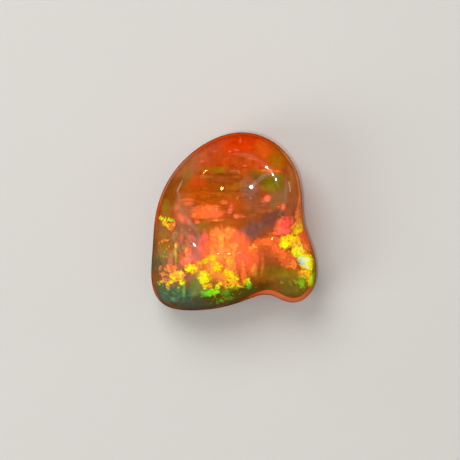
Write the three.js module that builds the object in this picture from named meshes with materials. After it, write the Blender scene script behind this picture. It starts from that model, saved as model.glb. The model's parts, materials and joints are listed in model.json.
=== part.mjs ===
// Fire opal: one freeform polished stone, lying on its flat back with its face up.
//
// Millimetres. +Z is up, from the flat back to the face. +Y is the broad end of the stone and +X its right side as the
// face is looked at. The origin is on the flat back, at the middle of the stone's length and width.
//
// The stone is four rounded lobes that run into each other, as a nodule grows and is then tumbled: a broad crown, a side
// that widens it, and at the lower end a wide foot and a small toe with a notch between them. The face is polished into a
// shallow dish with a soft lip all round. A fine sphere is wrapped onto this skin, and what would reach below the back is
// ground flat, with a soft edge.

import * as THREE from "three";
import { mergeVertices } from "three/addons/utils/BufferGeometryUtils.js";

// Each lobe: its middle, its half sizes along its own axes, and how far those axes turn about Z, in degrees.
const LOBES = {
  crown: { middle: [-0.35, 1.1, 2.3], half: [5.67, 4.62, 3.95], turn: 45 },
  side: { middle: [-2.44, -0.46, 2], half: [1.83, 4.62, 2.7], turn: -26 },
  foot: { middle: [-0.48, -2.99, 1.9], half: [4.71, 2.91, 2.7], turn: 23.5 },
  toe: { middle: [4.33, -3.61, 1.8], half: [2.23, 1.62, 2.5], turn: 96 },
};
const BLEND = 0.83; // width of the soft valley where two lobes meet

// The rounded form whose print is the dish, given as a lobe is.
const DISH = { middle: [0.85, 2.1, 12.3], half: [9.4, 10, 7], turn: 45 };
const LIP = 0.2; // width of the soft lip where the dish meets the face

// How full the upright section of each form is: 2 makes an ellipse, and more fills out its corners.
const SHOULDERS = 3.15; // above its middle
const BELLY = 2; // below its middle, which is the part of the dish's form that leaves its print

const BACK_EDGE = 0.6; // how far above and below the back the ground edge is rounded
const HEART = new THREE.Vector3(0, -0.4, 2.3); // a point that every part of the skin can be seen from
const REACH = 12; // farther from the heart than any part of the skin
const SPLITS = 20; // how often each edge of the icosahedron is split
const HALVINGS = 40; // steps of the search for the skin, each half as long as the last

const LOOKS = { color: 0xd9480f, roughness: 0.05, metalness: 0 };

// How far a point is outside a rounded form, in about millimetres along its thinnest way, and negative inside.
function distanceOutside(form, point) {
  const [x, y, z] = form.middle;
  const [a, b, c] = form.half;
  const turn = THREE.MathUtils.degToRad(form.turn);
  const dx = point.x - x;
  const dy = point.y - y;
  const along = dx * Math.cos(turn) + dy * Math.sin(turn);
  const across = dy * Math.cos(turn) - dx * Math.sin(turn);
  const fullness = point.z > z ? SHOULDERS : BELLY;
  const level = Math.hypot(along / a, across / b) ** fullness;
  const upright = Math.abs((point.z - z) / c) ** fullness;
  return ((level + upright) ** (1 / fullness) - 1) * Math.min(a, b);
}

// The largest of some depths, and a little more where two are alike, which is what blends them.
function softLargest(depths, width) {
  const sum = depths.reduce((total, depth) => total + Math.exp(depth / width), 0);
  return width * Math.log(sum);
}

// Above 0 inside the stone and below 0 outside, in about millimetres.
function depthInside(point) {
  const depths = Object.values(LOBES).map((lobe) => -distanceOutside(lobe, point));
  const outsideLobes = -softLargest(depths, BLEND);
  const insideDish = -distanceOutside(DISH, point);
  return -softLargest([outsideLobes, insideDish], LIP);
}

// The point of the skin that lies from the heart in the given direction.
function skinPoint(direction) {
  let inner = 0;
  let outer = REACH;
  for (let step = 0; step < HALVINGS; step += 1) {
    const middle = (inner + outer) / 2;
    const inside = depthInside(HEART.clone().addScaledVector(direction, middle)) > 0;
    if (inside) inner = middle;
    else outer = middle;
  }
  return HEART.clone().addScaledVector(direction, inner);
}

// Grinds the back flat: heights well below it become 0, and the edge is a parabola between the two.
function groundHeight(z) {
  if (z >= BACK_EDGE) return z;
  if (z <= -BACK_EDGE) return 0;
  return (z + BACK_EDGE) ** 2 / (4 * BACK_EDGE);
}

function stoneGeometry() {
  const sphere = new THREE.IcosahedronGeometry(1, SPLITS);
  sphere.deleteAttribute("normal");
  sphere.deleteAttribute("uv");
  const geometry = mergeVertices(sphere);
  const places = geometry.getAttribute("position");
  const direction = new THREE.Vector3();
  for (let i = 0; i < places.count; i += 1) {
    direction.fromBufferAttribute(places, i).normalize();
    const point = skinPoint(direction);
    places.setXYZ(i, point.x, point.y, groundHeight(point.z));
  }
  geometry.computeBoundingBox();
  const centre = geometry.boundingBox.getCenter(new THREE.Vector3());
  geometry.translate(-centre.x, -centre.y, 0);
  geometry.computeVertexNormals();
  return geometry;
}

const opal = new THREE.Mesh(stoneGeometry(), new THREE.MeshStandardMaterial(LOOKS));
opal.name = "fire_opal";

const stone = new THREE.Group();
stone.add(opal);

export default stone;
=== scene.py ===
"""A polished fire opal lying on a pale table, looked at from straight above.

The stone is one piece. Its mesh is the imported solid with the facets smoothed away, and its material holds the
rest: the clear orange body, the darker clouds in it and the patches of fire, each where the photo has it.
"""

import json
import math

import bpy
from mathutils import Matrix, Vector

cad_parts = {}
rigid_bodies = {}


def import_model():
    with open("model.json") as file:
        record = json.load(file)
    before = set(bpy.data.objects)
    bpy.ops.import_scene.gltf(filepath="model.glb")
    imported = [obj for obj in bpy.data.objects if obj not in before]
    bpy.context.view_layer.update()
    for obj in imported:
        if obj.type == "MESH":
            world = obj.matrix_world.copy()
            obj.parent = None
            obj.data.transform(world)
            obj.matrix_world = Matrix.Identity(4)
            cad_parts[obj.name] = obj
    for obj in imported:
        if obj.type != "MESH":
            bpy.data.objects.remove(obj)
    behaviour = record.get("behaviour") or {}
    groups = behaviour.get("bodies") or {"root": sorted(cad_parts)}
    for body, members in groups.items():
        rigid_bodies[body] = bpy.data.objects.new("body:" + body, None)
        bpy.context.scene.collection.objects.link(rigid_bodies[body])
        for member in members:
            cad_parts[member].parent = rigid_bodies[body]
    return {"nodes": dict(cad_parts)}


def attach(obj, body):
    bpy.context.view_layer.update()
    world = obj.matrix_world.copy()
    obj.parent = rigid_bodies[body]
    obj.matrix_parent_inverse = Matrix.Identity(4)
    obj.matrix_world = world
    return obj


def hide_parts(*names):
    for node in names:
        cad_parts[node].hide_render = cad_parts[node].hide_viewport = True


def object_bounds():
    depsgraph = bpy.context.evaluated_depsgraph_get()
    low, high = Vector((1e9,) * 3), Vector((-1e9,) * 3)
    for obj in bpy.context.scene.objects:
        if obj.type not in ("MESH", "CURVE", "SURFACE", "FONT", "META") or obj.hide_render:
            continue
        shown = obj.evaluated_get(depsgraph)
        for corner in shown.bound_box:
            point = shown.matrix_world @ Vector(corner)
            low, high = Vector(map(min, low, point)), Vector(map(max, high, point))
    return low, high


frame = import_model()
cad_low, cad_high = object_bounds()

MM = 0.001  # metres

# The photo
PICTURE = 460  # width and height in pixels
STONE_LEFT, STONE_RIGHT = 151.3, 316.5  # the stone's outline in the photo, in pixels
STONE_TOP, STONE_BOTTOM = 132.5, 310.5
PIXEL = (cad_high.y - cad_low.y) / (STONE_BOTTOM - STONE_TOP)  # metres that one pixel shows
EYE_DISTANCE = 250 * MM  # from the camera to the widest part of the stone
OUTLINE_HEIGHT = 2.2 * MM  # height of the widest part above the table
NEAREST_SEEN = 10 * MM  # what is nearer to the camera isn't drawn
SENSOR = 36  # millimetres, the camera's own unit

# The smoothed skin
SAME_PLACE = 0.001 * MM  # corners closer than this are one
VOXEL = 0.09 * MM  # width of its even faces
SMOOTHING = 0.5  # how far each round moves a corner towards the middle of its neighbours
SMOOTHING_ROUNDS = 40

# The table
TABLE_WIDTH = 600 * MM
TABLE_GAP = 0.01 * MM  # between the table and the stone's back


def linear(hex_colour):
    """Turns an sRGB colour such as "d9480f" into the linear colour that shaders take."""
    values = [int(hex_colour[i : i + 2], 16) / 255 for i in (0, 2, 4)]
    return [v / 12.92 if v <= 0.04045 else ((v + 0.055) / 1.055) ** 2.4 for v in values] + [1.0]


def add_node(tree, kind, inputs=None, **settings):
    """Adds a node of that kind. An input is a plain value, or an output socket to link."""
    node = tree.nodes.new(kind if kind.startswith("Node") else "ShaderNode" + kind)
    for name, value in settings.items():
        setattr(node, name, value)
    for key, value in (inputs or {}).items():
        if isinstance(value, bpy.types.NodeSocket):
            tree.links.new(value, node.inputs[key])
        else:
            node.inputs[key].default_value = value
    return node


def new_material(name):
    material = bpy.data.materials.new(name)
    material.use_nodes = True
    material.node_tree.nodes.clear()
    return material


# The body's clouds, mostly from the crown down. Each has a colour, its middle and half sizes along X and Y in
# millimetres, a turn in degrees, and how solid it is. Later ones lie over earlier ones.
CLOUDS = [
    ("cc5014", 0.5, 4.6, 3.2, 1.3, 0, 1.0),
    ("d63c04", 0.5, 5.8, 2.6, 0.8, 0, 1.0),
    ("dc5c12", 2.4, 5.2, 1.0, 0.7, -25, 1.0),
    ("c04c22", -2.0, 4.9, 1.6, 0.6, 35, 1.0),
    ("b06636", -3.6, 3.6, 1.7, 0.7, 48, 1.0),
    ("8c6a24", -3.4, 3.0, 0.4, 0.8, -10, 0.8),
    ("884a0c", -4.5, 2.1, 0.9, 1.3, -25, 0.9),
    ("93781e", -4.9, 0.9, 0.3, 0.6, 12, 0.9),
    ("a8740e", -1.1, 3.75, 0.75, 0.15, 0, 0.9),
    ("b85504", -2.1, 2.0, 1.6, 0.9, 0, 1.0),
    ("d05014", -2.7, 2.8, 0.6, 0.5, 20, 0.9),
    ("b05614", -0.3, 2.4, 1.1, 0.6, 0, 1.0),
    ("90560c", -0.9, 2.0, 0.6, 0.3, 0, 0.8),
    ("8a6a10", 0.7, 2.6, 0.4, 0.25, 0, 0.9),
    ("c45c16", 0.3, 1.3, 0.9, 0.7, 0, 0.9),
    ("9c5a34", 1.6, 1.3, 0.8, 0.6, 0, 0.9),
    ("8e5a48", 1.2, 2.1, 0.6, 0.4, 0, 0.7),
    ("88641c", 2.2, 3.2, 1.1, 0.5, -8, 1.0),
    ("82700c", 3.1, 2.85, 0.85, 0.65, 0, 1.0),
    ("8c6c34", 3.7, 2.4, 0.35, 0.9, 0, 0.8),
    ("b8680a", 3.3, 4.6, 0.7, 0.9, -40, 1.0),
    ("8e7410", 3.0, 4.3, 0.2, 0.3, 0, 0.7),
    ("c87434", 4.3, 2.9, 0.4, 1.6, 5, 0.9),
    ("ac6438", 4.2, 1.3, 0.4, 1.1, 0, 0.9),
    ("cc5a1c", 2.7, 3.6, 0.6, 0.2, 0, 0.9),
    ("b8583a", 4.0, 0.6, 0.4, 0.4, 0, 0.7),
    ("96683c", 3.0, 1.5, 0.7, 0.7, 0, 0.9),
    ("9c5224", 1.3, 0.3, 1.0, 0.5, 0, 0.9),
    ("8c5640", 2.0, -0.3, 0.9, 0.5, 20, 1.0),
    ("7a483c", 2.7, 0.25, 0.75, 0.45, 35, 0.9),
    ("744830", 3.1, 0.45, 0.35, 0.3, 35, 0.7),
    ("90502c", 2.4, -0.8, 0.6, 0.3, 0, 0.9),
    ("84584c", 1.1, -0.85, 0.75, 0.45, 5, 1.0),
    ("d4662e", 2.4, -2.2, 1.0, 1.0, 0, 1.0),
    ("a65826", 2.9, -3.1, 1.0, 0.6, 0, 1.0),
    ("8c6a18", 2.6, -3.9, 1.6, 0.6, 0, 1.0),
    ("9c7c18", 4.1, -3.9, 0.8, 0.5, 0, 1.0),
    ("7c5410", 2.2, -4.5, 0.9, 0.35, -10, 1.0),
    ("80682a", 3.8, -4.6, 1.2, 0.4, 0, 1.0),
    ("6e5a28", 4.1, -5.2, 1.3, 0.35, 5, 1.0),
    # darker at the notch between the foot and the toe
    ("5c3e0a", 1.8, -4.75, 0.9, 0.25, 12, 1.0),
    ("bc6c40", -3.6, 0.7, 0.8, 1.2, 0, 0.9),
    ("a87824", -2.3, -0.3, 1.0, 0.35, 0, 0.9),
    ("c0621c", -0.7, -0.2, 1.0, 0.35, 0, 0.9),
    ("a06a44", -3.6, -1.1, 1.0, 1.0, 0, 1.0),
    ("94805a", -3.5, -0.85, 0.2, 0.2, 0, 0.8),
    ("94704a", -4.1, -0.95, 0.3, 0.25, 0, 0.8),
    ("907c50", -3.75, -2.0, 0.25, 0.25, 0, 0.8),
    ("b4746a", -2.7, -2.3, 0.5, 0.5, 0, 0.9),
    ("a4605a", -2.6, -1.4, 0.4, 0.3, 0, 0.8),
    ("96703c", -5.2, -0.7, 0.5, 0.7, 0, 0.9),
    ("a8701c", -5.1, -1.05, 0.4, 0.2, 0, 0.8),
    ("947c28", -5.0, -1.8, 0.4, 0.4, 0, 0.9),
    ("9a8040", -5.1, -2.6, 0.6, 0.6, 0, 1.0),
    ("8a6848", -4.4, -3.6, 1.2, 0.9, 0, 0.9),
    ("505034", -3.0, -5.7, 4.2, 0.9, 2, 1.0),
    ("7c7448", -4.2, -4.6, 1.0, 0.45, 0, 0.9),
    ("a87820", -1.5, -4.3, 0.7, 0.6, 0, 0.8),
    ("545e38", -5.6, -3.7, 0.35, 1.3, 5, 1.0),
    ("4c6450", -3.6, -5.2, 1.7, 0.6, 0, 1.0),
    ("4c6048", -4.8, -5.2, 0.8, 0.5, -40, 1.0),
    ("788440", -2.7, -4.6, 0.5, 0.9, 0, 1.0),
    ("4c5448", -3.2, -5.95, 1.8, 0.3, 0, 1.0),
    # darker along the foot's lower edge
    ("50481c", -0.9, -5.6, 1.6, 0.45, 8, 1.0),
    ("5a4414", 0.5, -5.2, 0.9, 0.35, 18, 1.0),
    ("a87460", -3.4, -4.0, 0.4, 0.3, 0, 0.5),
    ("504c14", -0.5, -5.3, 1.6, 0.45, 10, 1.0),
    ("8c6c24", -1.6, -4.3, 0.4, 0.3, 0, 0.8),
    ("7c7c1c", 5.8, -3.2, 0.3, 1.3, 0, 1.0),
    ("887424", 5.1, -4.6, 0.7, 0.6, 0, 1.0),
    ("7c6a20", 4.2, -4.9, 1.2, 0.4, 0, 1.0),
]

# Mottled hazes that float in the clouds, given as the clouds are
HAZES = [
    ("b87466", -3.3, -1.7, 1.6, 1.7, 0, 0.7),
    ("868a4c", -4.5, -2.3, 1.1, 1.9, 0, 0.8),
    ("5a7868", -4.3, -5.3, 1.5, 0.6, 0, 0.8),
    ("70707a", -3.3, -5.0, 0.5, 0.6, 0, 0.8),
    ("5c5a20", -0.8, -5.3, 1.4, 0.6, 8, 0.6),
    ("84901c", 4.6, -4.4, 1.0, 0.9, 0, 0.7),
    ("8c5a50", 1.8, -0.2, 1.8, 1.2, 25, 0.6),
    ("8c5418", -4.0, 2.2, 1.2, 2.0, -20, 0.6),
    ("a85e28", 4.1, 1.6, 0.7, 1.6, 0, 0.7),
]

# Level streaks in the dish and the crown, given as the clouds are
STREAKS = [
    ("9a8012", -0.9, 3.6, 1.8, 0.6, 0, 0.9),
    ("a86c12", 0.4, 2.7, 1.8, 0.8, 0, 0.9),
    ("94801c", 2.4, 2.9, 1.6, 1.0, 0, 0.8),
    ("d4601a", -2.0, 2.0, 1.8, 1.1, 0, 0.8),
    ("c87038", 1.6, 0.9, 1.8, 0.8, 8, 0.5),
    ("dc6a2c", 1.2, 4.4, 2.4, 0.8, -5, 0.6),
    ("c45c40", -2.6, 4.4, 1.6, 0.9, 35, 0.5),
    ("b8702c", -1.4, -0.1, 2.2, 0.5, 0, 0.7),
]

# Smoky streaks between those, given as the clouds are
SMOKE = [
    ("6c4408", 0.0, 3.1, 2.4, 1.0, 0, 0.7),
    ("7c4a10", 0.3, 1.9, 2.2, 0.9, 0, 0.6),
    ("a84a14", -0.6, 4.6, 3.0, 0.7, 0, 0.6),
    ("8c4c24", 2.2, 1.2, 1.4, 0.9, 12, 0.5),
]

# Painted glints and reflections: tiny pale dots, small grey arcs, thin grey veils where the dish's lips mirror the
# light, and two bright lines at the right, given as the clouds are
PAINTED_GLINTS = [
    ("d08c58", 0.25, 1.7, 0.07, 0.09, 0, 0.8),
    ("d08c58", 1.2, 1.7, 0.09, 0.07, 0, 0.7),
    ("dc8c58", 0.8, 4.0, 0.12, 0.05, 0, 0.8),
    ("bc8c58", 0.0, 3.66, 0.33, 0.05, 0, 0.6),
    ("bc8c58", 0.36, 3.55, 0.05, 0.14, 35, 0.6),
    ("e08860", 0.2, 5.15, 0.16, 0.05, -10, 0.7),
    ("b48666", -3.95, 1.5, 0.12, 0.7, 6, 0.4),
    ("b48666", -3.6, 0.55, 0.12, 0.6, 35, 0.45),
    ("ac8880", -2.9, -0.35, 0.13, 0.6, 35, 0.45),
    ("a89080", -2.5, -1.15, 0.12, 0.4, 10, 0.45),
    ("e88440", 4.68, 2.5, 0.09, 1.2, 5, 0.7),
    ("f08840", 4.64, 0.8, 0.09, 0.8, -5, 0.7),
    ("a88c70", 3.75, 2.2, 0.12, 1.0, -3, 0.35),
    ("a88c78", 3.5, 0.9, 0.12, 0.5, -30, 0.3),
]

# The painted rim light's colours, where they differ from its glow, given as the clouds are. The pale one at the
# upper left is a painted reflection.
RIM_LIGHT_COLOURS = [
    ("cc7850", -4.0, 3.4, 1.9, 0.9, 48, 0.8),
    ("5a5c32", -5.9, -2.9, 0.6, 2.2, 0, 1.0),
    ("cc5c2c", -5.4, -5.5, 0.9, 0.45, -45, 0.9),
    ("6c3c1c", -2.2, -5.9, 3.0, 0.7, 4, 1.0),
    ("ec7444", 3.8, -5.5, 2.2, 0.8, 5, 1.0),
    ("5c4028", -3.4, -5.85, 1.7, 0.4, -4, 1.0),
    ("a87430", 5.7, -3.6, 0.5, 1.0, 0, 0.9),
    ("f0702c", 4.9, -0.4, 0.6, 1.6, 0, 0.9),
    ("e88440", 4.3, 3.2, 0.8, 2.4, 22, 0.9),
]

# Painted highlights: thin bright lines where the rim catches the light, given as the clouds are
RIM_HIGHLIGHTS = [
    ("f09058", 4.05, 4.4, 0.06, 0.9, 38, 0.7),
    ("f09058", 4.62, 2.9, 0.06, 1.1, 12, 0.8),
    ("f09058", 4.72, 1.5, 0.06, 0.5, -14, 0.8),
    ("e88040", 4.6, 0.7, 0.05, 0.6, -4, 0.5),
]

# The fire's colours, and the tone from 0 to 1 that each stands at. It runs as the rainbow does, with the milky
# reds between the clear ones.
SPECTRUM = {
    0.0: "c8381a",
    0.08: "ff4e3c",
    0.16: "ff7068",
    0.25: "ff6c48",
    0.33: "ff6a22",
    0.42: "ff8e48",
    0.5: "ffaa30",
    0.6: "ffd40c",
    0.7: "ffff20",
    0.78: "b4f010",
    0.86: "48ec14",
    0.93: "3f9060",
    1.0: "4a6c80",
}

# Patches of fire, by area. Each has a tone, its middle and half sizes along X and Y in millimetres, a turn in
# degrees, and how strongly it burns. Later ones lie over earlier ones.
DISH_FIRE = [
    (0.33, -1.95, 0.62, 1.15, 0.55, 0, 0.95),
    (0.33, -2.0, 0.65, 0.85, 0.5, 0, 1.0),
    (0.36, -2.2, 1.05, 0.5, 0.12, 0, 0.9),
    (0.30, -1.6, 0.5, 0.4, 0.2, 0, 0.9),
    (0.38, -1.5, 0.15, 0.6, 0.12, 0, 0.9),
    (0.28, -2.65, 0.05, 0.2, 0.18, 0, 0.9),
    (0.30, -3.35, 1.55, 0.35, 0.1, 0, 0.9),
    (0.36, -3.3, 1.25, 0.3, 0.12, 0, 0.6),
    (0.10, -0.3, 0.8, 0.24, 0.2, 40, 1.0),
    (0.08, -0.2, 1.1, 0.1, 0.12, 0, 0.9),
    (0.28, -0.75, 1.4, 0.2, 0.12, 0, 0.8),
    (0.20, 0.15, 0.35, 0.17, 0.15, -30, 0.9),
    (0.30, -0.7, 0.75, 0.4, 0.12, 0, 0.6),
    (0.42, -1.15, 0.82, 0.12, 0.08, 0, 0.8),
    (0.33, 0.55, 0.35, 0.2, 0.08, 0, 0.5),
    (0.28, 2.4, 1.65, 0.18, 0.2, 0, 1.0),
    (0.16, 2.15, 1.45, 0.15, 0.08, 0, 0.6),
    (0.30, 3.55, 1.05, 0.11, 0.25, -5, 1.0),
    (0.40, 2.7, 3.65, 0.5, 0.08, -5, 0.6),
    (0.40, -2.3, 4.35, 0.12, 0.1, 0, 0.5),
    (0.33, 0.45, 5.9, 0.05, 0.13, 0, 0.8),
    (0.22, -0.3, 5.05, 0.07, 0.06, 0, 0.9),
]
FIELD_FIRE = [
    (0.31, -0.6, -2.1, 2.0, 1.5, 0, 0.9),
    (0.27, 0.9, -2.8, 0.9, 1.1, 0, 0.85),
    (0.28, -3.2, -2.9, 0.8, 0.6, 0, 0.5),
    (0.26, -2.6, -3.2, 0.8, 0.4, 0, 0.6),
    (0.46, -1.1, -3.8, 1.6, 0.5, 0, 0.8),
    (0.38, -1.3, -1.1, 0.55, 0.65, 0, 1.0),
    (0.40, -0.3, -0.95, 0.85, 0.5, 0, 1.0),
    (0.18, -2.15, -1.25, 0.17, 0.5, -5, 0.9),
    (0.22, -1.75, -1.8, 0.5, 0.55, 0, 1.0),
    (0.38, -1.0, -1.9, 0.8, 0.9, 0, 1.0),
    (0.28, 0.35, -1.6, 0.5, 0.7, 0, 1.0),
    (0.44, -0.8, -1.35, 0.2, 0.85, 4, 0.9),
    (0.54, -0.1, -2.0, 0.3, 0.12, 10, 0.8),
    (0.43, -0.1, -2.5, 0.7, 0.8, 0, 1.0),
    (0.26, 0.75, -2.6, 0.5, 0.8, 0, 1.0),
    (0.18, 0.7, -3.2, 0.3, 0.35, 0, 0.9),
    (0.32, 1.2, -2.15, 0.5, 0.45, 0, 0.9),
    (0.27, 1.3, -3.05, 0.3, 0.45, 0, 0.9),
    (0.34, 0.7, -3.8, 0.28, 0.7, 0, 1.0),
    (0.36, 2.05, -3.1, 0.09, 0.5, 0, 0.6),
    (0.45, 1.45, -3.65, 0.13, 0.25, 0, 0.9),
    (0.42, -2.7, -3.25, 0.45, 0.5, 0, 0.9),
    (0.43, -1.7, -3.4, 0.35, 0.55, 0, 1.0),
    (0.45, -1.2, -2.8, 0.8, 0.5, 0, 1.0),
    (0.40, -0.45, -3.3, 0.45, 0.5, 0, 1.0),
    (0.24, -3.3, -2.2, 0.25, 0.5, 0, 1.0),
    (0.25, -3.45, -2.9, 0.45, 0.4, 0, 1.0),
    (0.46, -3.5, -2.0, 0.08, 0.2, 0, 0.6),
    (0.20, -3.6, 0.15, 0.5, 0.2, -35, 0.8),
    (0.30, -4.15, 1.0, 0.13, 0.17, 0, 0.7),
    (0.25, -3.75, -0.6, 0.1, 0.1, 0, 0.8),
    (0.28, -3.8, -1.1, 0.11, 0.2, 0, 0.7),
    (0.14, -3.15, -1.15, 0.17, 0.14, -20, 0.8),
    (0.14, -3.3, -1.5, 0.14, 0.2, 0, 0.5),
    (0.20, -4.1, -1.75, 0.13, 0.18, 0, 0.7),
    (0.16, -4.55, -2.9, 0.14, 0.28, 0, 0.7),
    (0.18, -4.5, -2.4, 0.1, 0.3, 0, 0.5),
    (0.66, -4.2, -2.45, 0.06, 0.36, 3, 0.45),
    (0.28, -3.0, -2.5, 0.5, 0.2, 0, 0.4),
]
FOOT_FIRE = [
    (0.38, -4.5, -3.4, 0.5, 0.3, 0, 0.7),
    (0.38, -5.15, -3.8, 0.2, 0.14, 0, 0.8),
    (0.38, -5.35, -3.4, 0.11, 0.14, 0, 0.6),
    (0.45, -5.1, -4.3, 0.3, 0.11, 20, 0.8),
    (0.38, -4.15, -3.25, 0.14, 0.11, 0, 0.8),
    (0.49, -4.2, -3.9, 0.55, 0.33, 10, 1.0),
    (0.47, -3.95, -4.15, 0.35, 0.2, 0, 0.9),
    (0.55, -3.8, -3.8, 0.3, 0.2, 0, 0.8),
    (0.60, -4.5, -4.3, 0.35, 0.13, 35, 1.0),
    (0.56, -4.75, -4.6, 0.13, 0.25, -20, 0.9),
    (0.65, -3.2, -3.4, 0.38, 0.25, 10, 1.0),
    (0.60, -3.0, -3.68, 0.14, 0.14, 0, 0.9),
    (0.66, -3.75, -4.45, 0.23, 0.13, 15, 1.0),
    (0.76, -3.97, -4.78, 0.1, 0.06, 0, 0.7),
    (0.76, -5.4, -4.45, 0.07, 0.12, 0, 0.5),
    (0.84, -3.63, -5.05, 0.1, 0.42, 0, 0.42),
    (0.92, -4.35, -5.65, 0.25, 0.12, -10, 0.8),
    (0.98, -4.1, -5.6, 0.14, 0.1, 0, 0.5),
    (1.00, -5.05, -5.6, 0.3, 0.14, -45, 0.5),
    (0.60, -2.25, -3.8, 0.25, 0.2, 0, 1.0),
    (0.66, -2.15, -4.15, 0.36, 0.48, 0, 1.0),
    (0.68, -2.5, -4.05, 0.13, 0.12, 0, 0.9),
    (0.72, -2.15, -4.65, 0.15, 0.33, 20, 1.0),
    (0.55, -1.85, -4.65, 0.25, 0.18, 0, 0.8),
    (0.70, -1.2, -4.8, 0.14, 0.3, -22, 1.0),
    (0.62, -0.98, -4.5, 0.22, 0.15, 0, 1.0),
    (0.35, -1.2, -4.25, 0.2, 0.1, 0, 0.8),
    (0.79, -1.5, -5.08, 0.45, 0.22, 10, 1.0),
    (0.85, -1.85, -5.2, 0.32, 0.22, 10, 1.0),
    (0.84, -2.2, -5.12, 0.2, 0.16, 0, 0.5),
    (0.74, -1.38, -5.3, 0.05, 0.15, 0, 0.7),
    (0.63, -1.15, -3.3, 0.28, 0.24, 0, 0.9),
    (0.60, -1.9, -2.75, 0.4, 0.09, 25, 0.9),
    (0.54, -1.45, -2.6, 0.17, 0.18, 0, 0.8),
    (0.56, -0.38, -2.9, 0.1, 0.18, 0, 0.5),
    (0.60, -0.35, -3.85, 0.4, 0.3, -40, 1.0),
    (0.60, -0.05, -4.2, 0.38, 0.38, 35, 1.0),
    (0.55, -0.1, -4.58, 0.6, 0.17, 0, 1.0),
    (0.50, 0.4, -4.6, 0.25, 0.09, -20, 0.9),
    (0.50, -0.7, -4.05, 0.14, 0.07, 0, 0.9),
    (0.45, -0.65, -4.4, 0.15, 0.1, 0, 0.9),
    (0.85, -0.6, -5.15, 0.35, 0.3, 0, 0.35),
    (0.82, -0.45, -5.55, 0.33, 0.12, 0, 0.35),
    (0.82, -0.9, -5.75, 0.14, 0.1, 0, 0.5),
    (0.90, -1.2, -5.85, 0.12, 0.1, 0, 0.5),
    (0.73, -0.1, -4.78, 0.4, 0.08, 0, 0.5),
    (0.86, 1.08, -4.58, 0.18, 0.24, 0, 0.9),
    (0.66, 1.05, -4.25, 0.12, 0.16, 15, 1.0),
    (0.74, 0.88, -4.38, 0.08, 0.12, 0, 0.7),
    (0.74, -5.15, 0.15, 0.3, 0.11, -35, 1.0),
    (0.75, -4.6, 0.12, 0.25, 0.09, -20, 1.0),
    (0.82, -4.48, 0.2, 0.1, 0.1, 0, 0.6),
    (0.54, -4.85, -0.25, 0.35, 0.14, -30, 0.9),
    (0.58, -4.65, -0.4, 0.18, 0.11, 0, 0.7),
    (0.49, -4.5, -0.52, 0.18, 0.11, 0, 0.8),
    (0.40, -4.35, -0.2, 0.15, 0.14, 0, 0.9),
    (0.39, -5.0, -1.4, 0.3, 0.08, 18, 0.8),
]
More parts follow.
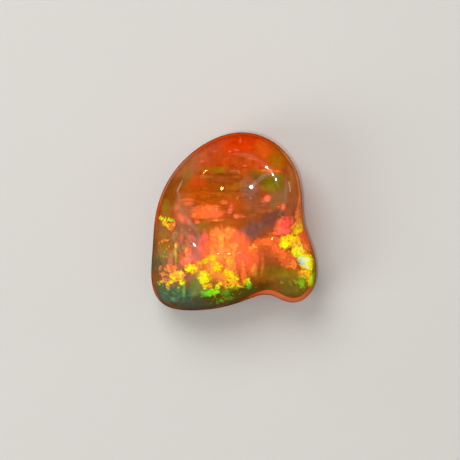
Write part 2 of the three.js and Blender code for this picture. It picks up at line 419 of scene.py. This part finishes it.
TOE_FIRE = [
    (0.34, 4.9, -0.5, 0.5, 1.4, -6, 0.85),
    (0.29, 5.2, -1.5, 0.45, 0.7, 15, 0.85),
    (0.33, 3.9, -2.7, 0.8, 0.6, -30, 0.6),
    (0.58, 4.2, -1.4, 0.9, 0.5, -15, 0.95),
    (0.62, 4.7, -2.2, 0.55, 0.55, 0, 0.95),
    (0.66, 5.25, -2.9, 0.5, 0.8, 18, 0.95),
    (0.50, 5.15, -3.8, 0.5, 0.35, 0, 0.85),
    (0.60, 5.55, -4.2, 0.25, 0.5, 0, 0.85),
    (0.33, 2.8, -1.45, 1.2, 0.3, 0, 0.7),
    (0.33, 3.1, -1.9, 0.4, 0.4, 0, 0.8),
    (0.34, 3.55, -2.35, 0.45, 0.3, -20, 0.9),
    (0.44, 4.3, -3.1, 0.28, 0.36, 0, 0.9),
    (0.20, 4.2, -2.5, 0.2, 0.1, -45, 0.9),
    (0.28, 1.65, -1.63, 0.25, 0.1, 10, 1.0),
    (0.50, 1.4, -1.85, 0.2, 0.09, 5, 1.0),
    (0.26, 3.7, -0.3, 0.75, 0.6, 30, 0.8),
    (0.26, 3.55, -0.6, 0.6, 0.4, 0, 1.0),
    (0.10, 3.75, -0.15, 0.33, 0.42, -20, 1.0),
    (0.08, 4.1, -0.15, 0.2, 0.2, 0, 0.9),
    (0.26, 3.3, -0.85, 0.6, 0.15, 5, 1.0),
    (0.24, 3.0, -1.15, 0.4, 0.07, -3, 0.9),
    (0.30, 5.15, -1.5, 0.25, 0.6, 20, 0.6),
    (0.40, 5.3, -1.95, 0.2, 0.22, 0, 0.7),
    (0.35, 4.6, -0.1, 0.23, 0.3, 0, 0.9),
    (0.33, 4.8, 0.9, 0.11, 0.9, 3, 0.8),
    (0.14, 4.75, 0.6, 0.1, 0.14, 0, 0.7),
    (0.40, 4.65, 0.35, 0.22, 0.6, -5, 0.9),
    (0.47, 4.8, -0.2, 0.25, 0.4, 0, 1.0),
    (0.50, 4.4, -0.55, 0.2, 0.2, 0, 0.9),
    (0.55, 4.3, -0.92, 0.33, 0.13, 20, 1.0),
    (0.62, 4.75, -0.65, 0.2, 0.09, 35, 1.0),
    (0.58, 5.0, -0.25, 0.1, 0.15, 0, 0.9),
    (0.56, 4.3, -1.5, 0.3, 0.33, 0, 1.0),
    (0.66, 3.85, -1.2, 0.35, 0.13, 5, 1.0),
    (0.70, 3.7, -1.7, 0.33, 0.27, 0, 1.0),
    (0.64, 3.5, -1.38, 0.17, 0.14, 0, 0.9),
    (0.50, 4.35, -1.75, 0.1, 0.1, 0, 0.8),
    (0.54, 4.6, -1.75, 0.2, 0.25, 0, 0.9),
    (0.60, 4.8, -1.9, 0.1, 0.2, 0, 0.9),
    (0.70, 4.6, -2.15, 0.15, 0.28, 0, 1.0),
    (0.69, 4.3, -2.3, 0.25, 0.1, -25, 1.0),
    (0.75, 4.58, -2.4, 0.18, 0.12, 0, 0.9),
    (0.55, 5.1, -2.3, 0.3, 0.17, 0, 0.9),
    (0.70, 5.25, -2.75, 0.37, 0.25, -20, 1.0),
    (0.74, 4.85, -2.65, 0.16, 0.2, 0, 1.0),
    (0.69, 5.45, -3.1, 0.15, 0.35, 20, 1.0),
    (0.68, 5.6, -3.4, 0.12, 0.14, 0, 1.0),
    (0.44, 4.95, -3.85, 0.25, 0.14, 0, 0.9),
    (0.68, 5.1, -3.6, 0.16, 0.06, 0, 0.9),
    (0.58, 5.4, -3.8, 0.18, 0.22, -20, 1.0),
    (0.60, 5.62, -4.1, 0.11, 0.14, 0, 0.9),
    (0.75, 5.64, -4.5, 0.17, 0.22, 0, 1.0),
    (0.83, 4.9, -4.4, 0.22, 0.35, 0, 0.55),
    (0.82, 4.9, -4.75, 0.1, 0.08, 0, 0.6),
    (0.80, 5.8, -3.85, 0.08, 0.25, 0, 0.5),
    (0.48, 3.45, -4.4, 0.09, 0.1, 0, 0.4),
]

# Wide places where small embers glow between the patches, given as the fire is
EMBERS = [
    (0.30, -3.7, -1.6, 1.5, 1.5, 0, 0.5),
    (0.58, -4.9, -2.4, 0.7, 1.5, 0, 0.4),
    (0.24, -2.7, -1.9, 1.0, 1.4, 0, 0.5),
    (0.42, -4.5, -3.7, 1.3, 0.8, 0, 0.7),
    (0.34, 0.0, -2.9, 2.4, 1.0, 0, 0.7),
    (0.60, -1.0, -4.2, 1.8, 0.5, 0, 0.6),
    (0.88, -4.2, -5.2, 1.8, 0.7, 0, 0.7),
    (0.84, -0.8, -5.3, 1.6, 0.6, 8, 1.0),
    (0.70, 0.6, -4.8, 1.1, 0.5, 15, 0.6),
    (0.30, -1.8, 0.7, 2.0, 1.0, 0, 0.5),
    (0.30, 2.2, -1.9, 1.5, 0.9, 0, 0.5),
    (0.66, 4.5, -1.9, 1.1, 1.3, 0, 0.6),
    (0.80, 4.7, -4.3, 1.1, 0.8, 0, 0.6),
    (0.24, 3.7, -0.2, 0.9, 0.8, 0, 0.5),
]

# Small places where the fire is at its brightest, given as the clouds are
PALE_FIRE = [
    ("ff9272", -3.25, -2.6, 0.35, 0.4, 0, 0.6),
    ("ffff40", 4.6, -2.15, 0.22, 0.3, 0, 0.6),
    ("84f010", -1.8, -5.17, 0.25, 0.15, 0, 0.8),
    ("fbfbb0", 5.25, -2.75, 0.22, 0.14, -20, 0.8),
    ("d4f4c4", 4.85, -2.8, 0.25, 0.3, 0, 0.8),
    ("a0ead0", 4.95, -3.03, 0.26, 0.15, -35, 1.0),
    ("eef6ea", 5.2, -3.25, 0.18, 0.08, -40, 0.9),
    ("f6fcc0", 4.95, -2.75, 0.08, 0.08, 0, 0.9),
    ("fbe870", -3.8, -3.8, 0.14, 0.1, 0, 0.7),
    ("fcd080", -5.0, -4.2, 0.1, 0.05, 15, 0.8),
]

# Two more patches, given as the clouds are but with no colour
MILKY_FOOT = (-2.4, -5.5, 4.2, 1.2, 5, 0.9)  # where the stone is hardly clear
TOE_RIM_LIGHT = (3.7, -5.4, 2.3, 0.9, 5, 0.26)  # where the painted rim light reaches farther in, and by how much

# Widths that the patches' edges fade over, in millimetres
CLOUD_EDGE = 0.6
VEIL_EDGE = 0.8  # hazes, streaks, smoke and embers, and the milky foot
# the painted glints and reflections
PAINTED_GLINT_EDGE = 0.12
FIELD_EDGE = 0.4
DISH_EDGE = 0.22
LOWER_EDGE = 0.2  # the fire of the foot and the toe
PALE_EDGE = 0.15
RIM_EDGE = 0.5
# the painted highlights along the rim
RIM_HIGHLIGHT_EDGE = 0.1
EVEN = 0.5  # the edge pattern of a patch whose edge runs through its ellipse all round
TINT_LEAD = 0.4  # how much farther out a patch's colour starts than the patch, as a share of its edge
FULLEST = 1.6  # a patch's smaller half size over its edge, at the most

# Where things start and end on the skin, by how much it faces up: 1 on top, 0 on the side walls, -1 on the back.
# The painted rim light and the painted shade beside it take up and down alike.
WALL_FADE = (-0.04, 0.2)  # the walls give way to the face
RIM_FADE = (0.36, 0.22)  # the painted rim light starts, and is full
SHADE_BAND_FADE = (0.36, 0.55)  # the painted shade beside the rim is deepest, and ends
SHADE_BAND_LEAVES = 0.82  # what the painted shade leaves of the colour

# The colours of the clear stone between the clouds, and what tints the light that goes through it
BODY_COLOURS = ("b8581e", "a04a14")
# The painted rim light: the orange of the light that comes through the stone's thin edge
RIM_GLOW = "e2500f"
JELLY_TINT = "f0963c"
JELLY_DENSITY = 400.0  # per metre

# The fire
FIRST_TONE = 0.3  # where no patch gives a tone
TONE_SWING = 0.35  # how much each of two patterns moves the tone
GRAIN_RANGE = (0.35, 0.55)  # where the grains are darkest and brightest
DIM_GRAINS = 0.7  # what the darkest grains leave of the fire
WALL_FIRE = 0.6  # what the walls and the back show of the fire

# The share of light that goes into the stone, and the share of its colour that it gives off as a painted glow,
# though it is no lamp
CLEAR_WALLS, CLEAR_BODY, CLEAR_FIRE, CLEAR_FOOT = 0.7, 0.4, 0.1, 0.1
GLOW_WALLS, GLOW_BODY, GLOW_FIRE = 0.2, 0.3, 0.42


def patch_cover():
    """Makes a group of nodes that gives how much one patch covers each place.

    Cover runs from 0 outside the patch to its strength. Tint runs from 0 to 1 a little farther out, so that a patch
    has its own colour wherever it shows. It reaches straight down through the stone. Along and Across point along
    its half sizes and are as long as one over them. Steepness is half the patch's smaller half size over the width
    that its edge fades over. The edge pattern is 0.5 where the edge runs through the ellipse, more where it bulges
    out and less where it draws in.
    """
    group = bpy.data.node_groups.new("patch_cover", "ShaderNodeTree")
    for name in ("Place", "Middle", "Along", "Across"):
        group.interface.new_socket(name, in_out="INPUT", socket_type="NodeSocketVector")
    for name in ("Steepness", "Edge Pattern", "Strength"):
        group.interface.new_socket(name, in_out="INPUT", socket_type="NodeSocketFloat")
    for name in ("Cover", "Tint"):
        group.interface.new_socket(name, in_out="OUTPUT", socket_type="NodeSocketFloat")
    given = add_node(group, "NodeGroupInput").outputs
    values = {0: given["Place"], 1: given["Middle"]}
    offset = add_node(group, "VectorMath", values, operation="SUBTRACT").outputs["Vector"]
    along, across = [
        add_node(group, "VectorMath", {0: offset, 1: given[name]}, operation="DOT_PRODUCT").outputs["Value"]
        for name in ("Along", "Across")
    ]
    square = add_node(group, "Math", {0: across, 1: across}, operation="MULTIPLY").outputs["Value"]
    values = {0: along, 1: along, 2: square}
    square = add_node(group, "Math", values, operation="MULTIPLY_ADD").outputs["Value"]
    inwards = add_node(group, "Math", {0: 1.0, 1: square}, operation="SUBTRACT").outputs["Value"]
    values = {0: inwards, 1: given["Steepness"], 2: given["Edge Pattern"]}
    ramp = add_node(group, "Math", values, operation="MULTIPLY_ADD").outputs["Value"]
    cover, tint = [
        add_node(
            group,
            "MapRange",
            {"Value": ramp, "From Min": -lead, "From Max": 1 - lead, "To Max": most},
            interpolation_type="SMOOTHSTEP",
            clamp=False,
        ).outputs["Result"]
        for lead, most in ((0, given["Strength"]), (TINT_LEAD, 1))
    ]
    add_node(group, "NodeGroupOutput", {"Cover": cover, "Tint": tint})


def add_patch(tree, patch, place, edge_pattern, edge):
    """Adds one patch's nodes, and gives their outputs. Edge is in millimetres."""
    x, y, half_x, half_y, turn, strength = patch
    cosine, sine = math.cos(math.radians(turn)), math.sin(math.radians(turn))
    values = {
        "Place": place,
        "Middle": (x, y, 0),
        "Along": (cosine / half_x, sine / half_x, 0),
        "Across": (-sine / half_y, cosine / half_y, 0),
        "Steepness": min(FULLEST, min(half_x, half_y) / edge) / 2,
        "Edge Pattern": edge_pattern,
        "Strength": strength,
    }
    return add_node(tree, "Group", values, node_tree=bpy.data.node_groups["patch_cover"]).outputs


def paint(tree, colour, patches, place, edge_pattern, edge):
    """Lays each coloured patch over the colour below it."""
    for patch_colour, *patch in patches:
        cover = add_patch(tree, patch, place, edge_pattern, edge)["Cover"]
        values = {"Factor": cover, "A": colour, "B": linear(patch_colour)}
        colour = add_node(tree, "Mix", values, data_type="RGBA").outputs["Result"]
    return colour


def light_fire(tree, fire, patches, place, edge_pattern, edge):
    """Lays patches of fire over those before. Fire is the tone and the strength that it has at each place."""
    tone, burning = fire
    for patch_tone, *patch in patches:
        shown = add_patch(tree, patch, place, edge_pattern, edge)
        values = {"Factor": shown["Tint"], "A": tone, "B": patch_tone}
        tone = add_node(tree, "Mix", values, data_type="FLOAT").outputs["Result"]
        values = {0: shown["Cover"], 1: burning}
        burning = add_node(tree, "Math", values, operation="MAXIMUM").outputs["Value"]
    return tone, burning


def opal_material():
    """Precious fire opal, cut, ground and polished by hand.

    To the eye it is a clear orange jelly with a wet gloss. Silica spheres stacked in regular layers split the
    light, so patches inside it burn red, orange, yellow and green, while the body between them stays smoky and
    see-through.
    """
    material = new_material("polished_fire_opal")
    tree = material.node_tree
    skin = add_node(tree, "TexCoord").outputs["Object"]
    place = add_node(tree, "VectorMath", {0: skin, "Scale": 1 / MM}, operation="SCALE").outputs["Vector"]

    def cloudy(size, detail=3.0, roughness=0.6):
        """A cloudy pattern whose lumps have the given size in millimetres along X, Y and Z."""
        shrunk = add_node(tree, "Mapping", {"Vector": skin, "Scale": [1 / (s * MM) for s in size]})
        values = {"Vector": shrunk.outputs["Vector"], "Scale": 1.0, "Detail": detail, "Roughness": roughness}
        return add_node(tree, "TexNoise", values).outputs["Fac"]

    def swung(pattern, middle, swing):
        """Makes a cloudy pattern swing about a middle value."""
        values = {0: pattern, 1: swing, 2: middle - swing / 2}
        return add_node(tree, "Math", values, operation="MULTIPLY_ADD").outputs["Value"]

    def wavy(pattern, swing, edge):
        """An edge that a pattern moves by that swing, and the edge's width, both in millimetres."""
        return swung(pattern, EVEN, swing / edge), edge

    def mottled(pattern, middle, swing):
        """An edge so broken up by a pattern that the patch is mottled all over, and the edge's width."""
        return swung(pattern, middle, swing), VEIL_EDGE

    clots = cloudy((1.1, 1.1, 1.1))  # soft clouds
    grains = cloudy((0.4, 0.4, 0.4), detail=4.0, roughness=0.7)  # the fire's own grain
    uprights = cloudy((0.3, 1.3, 1.3), detail=4.0, roughness=0.65)  # columns in the middle of the face
    levels = cloudy((1.2, 0.3, 1.2), detail=4.0, roughness=0.65)  # level streaks in the dish
    flecks = cloudy((0.5, 0.7, 0.5), detail=4.0, roughness=0.65)  # mottling of the clouds
    crumbs = cloudy((0.22, 0.22, 0.22), roughness=0.65)  # crumbly edges of the lower fire

    patch_cover()
    lighter, deeper = [linear(hex_colour) for hex_colour in BODY_COLOURS]
    values = {"Factor": cloudy((3, 3, 3)), "A": lighter, "B": deeper}
    body = add_node(tree, "Mix", values, data_type="RGBA").outputs["Result"]
    body = paint(tree, body, CLOUDS, place, *wavy(clots, 1.2, CLOUD_EDGE))
    body = paint(tree, body, HAZES, place, *mottled(flecks, -0.7, 6.0))
    body = paint(tree, body, STREAKS, place, *mottled(levels, -0.35, 6.0))
    body = paint(tree, body, SMOKE, place, *mottled(levels, -0.5, -6.0))
    values = {0: body, "Scale": swung(flecks, 1.0, 1.0)}  # up to half darker or lighter
    body = add_node(tree, "VectorMath", values, operation="SCALE").outputs["Vector"]
    # Painted glints and reflections over the body
    body = paint(tree, body, PAINTED_GLINTS, place, *wavy(grains, 0.1, PAINTED_GLINT_EDGE))

    fire = (FIRST_TONE, 0.0)
    fire = light_fire(tree, fire, EMBERS, place, *mottled(crumbs, -0.6, 5.5))
    fire = light_fire(tree, fire, FIELD_FIRE, place, *wavy(uprights, 0.6, FIELD_EDGE))
    fire = light_fire(tree, fire, DISH_FIRE, place, *wavy(levels, 0.45, DISH_EDGE))
    fire = light_fire(tree, fire, FOOT_FIRE, place, *wavy(crumbs, 0.6, LOWER_EDGE))
    tone, burning = light_fire(tree, fire, TOE_FIRE, place, *wavy(crumbs, 0.5, LOWER_EDGE))
    for pattern in (uprights, crumbs):
        values = {0: tone, 1: swung(pattern, 0.0, TONE_SWING)}
        tone = add_node(tree, "Math", values, operation="ADD").outputs["Value"]
    spectrum = add_node(tree, "ValToRGB", {"Fac": tone})
    stops = spectrum.color_ramp.elements
    stops[0].position, stops[0].color = 0.0, linear(SPECTRUM[0.0])
    stops[1].position, stops[1].color = 1.0, linear(SPECTRUM[1.0])
    for stand, hex_colour in list(SPECTRUM.items())[1:-1]:
        stops.new(stand).color = linear(hex_colour)
    fiery = paint(tree, spectrum.outputs["Color"], PALE_FIRE, place, *wavy(grains, 0.3, PALE_EDGE))
    values = {"Value": grains, "From Min": GRAIN_RANGE[0], "From Max": GRAIN_RANGE[1], "To Min": DIM_GRAINS}
    flicker = add_node(tree, "MapRange", values).outputs["Result"]
    burning = add_node(tree, "Math", {0: burning, 1: flicker}, operation="MULTIPLY").outputs["Value"]

    # Upright runs from 1 where the skin faces up, over 0 on the side walls, to -1 on the back.
    normal = add_node(tree, "NewGeometry").outputs["Normal"]
    upright = add_node(tree, "SeparateXYZ", {0: normal}).outputs["Z"]
    slope = add_node(tree, "Math", {0: upright}, operation="ABSOLUTE").outputs["Value"]
    values = {"Value": upright, "From Min": WALL_FADE[0], "From Max": WALL_FADE[1]}
    above = add_node(tree, "MapRange", values).outputs["Result"]
    values = {"Factor": above, "A": WALL_FIRE, "B": 1.0}
    shown = add_node(tree, "Mix", values, data_type="FLOAT").outputs["Result"]
    burning = add_node(tree, "Math", {0: burning, 1: shown}, operation="MULTIPLY").outputs["Value"]
    values = {"Factor": burning, "A": body, "B": fiery}
    colour = add_node(tree, "Mix", values, data_type="RGBA").outputs["Result"]

    # Painted rim light: where the skin turns to the side, the colour gives way to the orange of light coming
    # through the thin edge, farther in at the toe
    toe_rim_light = add_patch(tree, TOE_RIM_LIGHT, place, EVEN, RIM_EDGE)["Cover"]
    slope = add_node(tree, "Math", {0: slope, 1: toe_rim_light}, operation="SUBTRACT").outputs["Value"]
    values = {"Value": slope, "From Min": RIM_FADE[0], "From Max": RIM_FADE[1]}
    rim = add_node(tree, "MapRange", values, interpolation_type="SMOOTHSTEP").outputs["Result"]
    # Painted shade: a darker band just inside the rim, by how much the skin faces up
    values = {"Value": slope, "From Min": SHADE_BAND_FADE[0], "From Max": SHADE_BAND_FADE[1], "To Min": SHADE_BAND_LEAVES}
    shade_band = add_node(tree, "MapRange", values).outputs["Result"]
    colour = add_node(tree, "VectorMath", {0: colour, "Scale": shade_band}, operation="SCALE").outputs["Vector"]
    rim = add_node(tree, "Math", {0: rim, 1: above}, operation="MULTIPLY").outputs["Value"]
    values = {0: rim, 1: swung(clots, 0.85, 0.6)}
    rim = add_node(tree, "Math", values, operation="MULTIPLY").outputs["Value"]
    rim_light_colour = paint(tree, linear(RIM_GLOW), RIM_LIGHT_COLOURS, place, *wavy(clots, 1.0, RIM_EDGE))
    values = {"Factor": rim, "A": colour, "B": rim_light_colour}
    colour = add_node(tree, "Mix", values, data_type="RGBA").outputs["Result"]
    # Painted highlights along the rim, laid over all
    colour = paint(tree, colour, RIM_HIGHLIGHTS, place, *wavy(grains, 0.08, RIM_HIGHLIGHT_EDGE))

    lit = add_node(tree, "Math", {0: burning, 1: rim}, operation="MAXIMUM").outputs["Value"]
    milky = add_patch(tree, MILKY_FOOT, place, *wavy(clots, 1.2, VEIL_EDGE))["Cover"]
    values = {"Factor": lit, "A": CLEAR_BODY, "B": CLEAR_FIRE}
    clearness = add_node(tree, "Mix", values, data_type="FLOAT").outputs["Result"]
    values = {"Factor": above, "A": CLEAR_WALLS, "B": clearness}
    clearness = add_node(tree, "Mix", values, data_type="FLOAT").outputs["Result"]
    values = {"Factor": milky, "A": clearness, "B": CLEAR_FOOT}
    clearness = add_node(tree, "Mix", values, data_type="FLOAT").outputs["Result"]
    # Painted glow: the stone gives off part of its own colour as light, the fire the most
    values = {"Factor": burning, "A": GLOW_BODY, "B": GLOW_FIRE}
    share = add_node(tree, "Mix", values, data_type="FLOAT").outputs["Result"]
    values = {"Factor": above, "A": GLOW_WALLS, "B": share}
    share = add_node(tree, "Mix", values, data_type="FLOAT").outputs["Result"]
    glow = add_node(tree, "VectorMath", {0: colour, "Scale": share}, operation="SCALE").outputs["Vector"]

    shader = add_node(
        tree,
        "BsdfPrincipled",
        {
            "Base Color": colour,
            "Roughness": 0.03,
            "IOR": 1.44,
            "Transmission Weight": clearness,
            "Emission Color": glow,
            "Emission Strength": 1.0,
        },
    )
    tint = add_node(tree, "VolumeAbsorption", {"Color": linear(JELLY_TINT), "Density": JELLY_DENSITY})
    add_node(tree, "OutputMaterial", {"Surface": shader.outputs["BSDF"], "Volume": tint.outputs["Volume"]})
    return material


def polished_stone():
    """The stone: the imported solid's own form, with its facets smoothed into one skin."""
    bpy.ops.object.select_all(action="DESELECT")
    solid = frame["nodes"]["fire_opal"]
    solid.select_set(True)
    bpy.context.view_layer.objects.active = solid
    bpy.ops.object.duplicate()
    stone = bpy.context.object
    stone.name = "polished_stone"
    bpy.ops.object.parent_clear(type="CLEAR_KEEP_TRANSFORM")
    bpy.ops.object.mode_set(mode="EDIT")
    bpy.ops.mesh.select_all(action="SELECT")
    bpy.ops.mesh.remove_doubles(threshold=SAME_PLACE)
    bpy.ops.object.mode_set(mode="OBJECT")
    remesh = stone.modifiers.new("even_faces", "REMESH")
    remesh.mode = "VOXEL"
    remesh.voxel_size = VOXEL
    bpy.ops.object.modifier_apply(modifier=remesh.name)
    smooth = stone.modifiers.new("soft_skin", "SMOOTH")
    smooth.factor = SMOOTHING
    smooth.iterations = SMOOTHING_ROUNDS
    bpy.ops.object.modifier_apply(modifier=smooth.name)
    bpy.ops.object.shade_smooth()
    stone.data.materials.clear()
    stone.data.materials.append(opal_material())
    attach(stone, "root")
    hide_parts("fire_opal")


def table_top():
    """A plain pale table, a hair below the stone's flat back.

    It is board with a rolled matt paint, so to the eye it is an even light grey with no glare.
    """
    bpy.ops.object.select_all(action="DESELECT")
    bpy.ops.mesh.primitive_plane_add(size=TABLE_WIDTH, location=(0, 0, -TABLE_GAP))
    table = bpy.context.object
    table.name = "table_top"
    material = new_material("pale_matt_board")
    tree = material.node_tree
    board = add_node(tree, "BsdfPrincipled", {"Base Color": linear("dedcd8"), "Roughness": 0.8})
    add_node(tree, "OutputMaterial", {"Surface": board.outputs["BSDF"]})
    table.data.materials.append(material)
    table.visible_glossy = False


def area_light(
    name,
    tilt,
    azimuth,
    distance,
    width,
    power,
    length=None,
    colour="ffffff",
    shape="RECTANGLE",
    mirrored=True,
):
    """A light that looks at the stone from a tilt off the upright and an azimuth from +X, in degrees.

    Its distance, width and length are in millimetres, and its power is in watts. Its length runs along its tilt,
    and is its width where none is given. Where it is mirrored, it shows in the polish.
    """
    away, around = math.radians(tilt), math.radians(azimuth)
    side = Vector((math.cos(around), math.sin(around), 0)) * math.sin(away)
    place = (side + Vector((0, 0, math.cos(away)))) * (distance * MM)
    bpy.ops.object.light_add(type="AREA", location=place)
    light = bpy.context.object
    light.name = name
    light.rotation_euler = (-place).to_track_quat("-Z", "Y").to_euler()
    light.data.shape = shape
    light.data.size = width * MM
    light.data.size_y = (length or width) * MM
    light.data.energy = power
    light.data.color = linear(colour)[:3]
    light.visible_glossy = mirrored
    light.visible_camera = False


def studio():
    """A pale room, two broad soft lights, and the small lamps, hood and windows that show in the polish."""
    world = bpy.data.worlds.new("pale_room")
    bpy.context.scene.world = world
    world.use_nodes = True
    room = world.node_tree.nodes["Background"]
    room.inputs["Color"].default_value = linear("f4f2ee")
    room.inputs["Strength"].default_value = 0.25
    world.cycles_visibility.glossy = False
    area_light("broad_light", tilt=40, azimuth=120, distance=400, width=250, power=0.88, mirrored=False)
    area_light("side_light", tilt=55, azimuth=200, distance=400, width=200, power=0.4, mirrored=False)
    area_light("white_lamp", tilt=4.1, azimuth=218, distance=300, width=7, power=0.15)
    area_light("warm_lamp", tilt=14, azimuth=359, distance=300, width=6, power=0.02, colour="ffc860")
    area_light("left_window", tilt=74, azimuth=148, distance=400, width=60, power=0.06, length=90)
    area_light("right_window", tilt=74, azimuth=12, distance=400, width=60, power=0.06, length=90)
    area_light("lamp_hood", tilt=3, azimuth=240, distance=300, width=56, power=0.006, shape="DISK")
    area_light("lamp_arm", tilt=11, azimuth=221, distance=300, width=11, power=0.004, length=70)
    bpy.context.scene.view_settings.view_transform = "Standard"


def camera():
    """Looks straight down, so that the stone takes the place that it has in the photo."""
    aim_x = (PICTURE / 2 - (STONE_LEFT + STONE_RIGHT) / 2) * PIXEL
    aim_y = ((STONE_TOP + STONE_BOTTOM) / 2 - PICTURE / 2) * PIXEL
    bpy.ops.object.camera_add(location=(aim_x, aim_y, OUTLINE_HEIGHT + EYE_DISTANCE), rotation=(0, 0, 0))
    eye = bpy.context.object
    eye.data.sensor_width = SENSOR
    eye.data.lens = SENSOR * EYE_DISTANCE / (PICTURE * PIXEL)
    eye.data.clip_start = NEAREST_SEEN
    bpy.context.scene.camera = eye


camera()
table_top()
studio()
polished_stone()
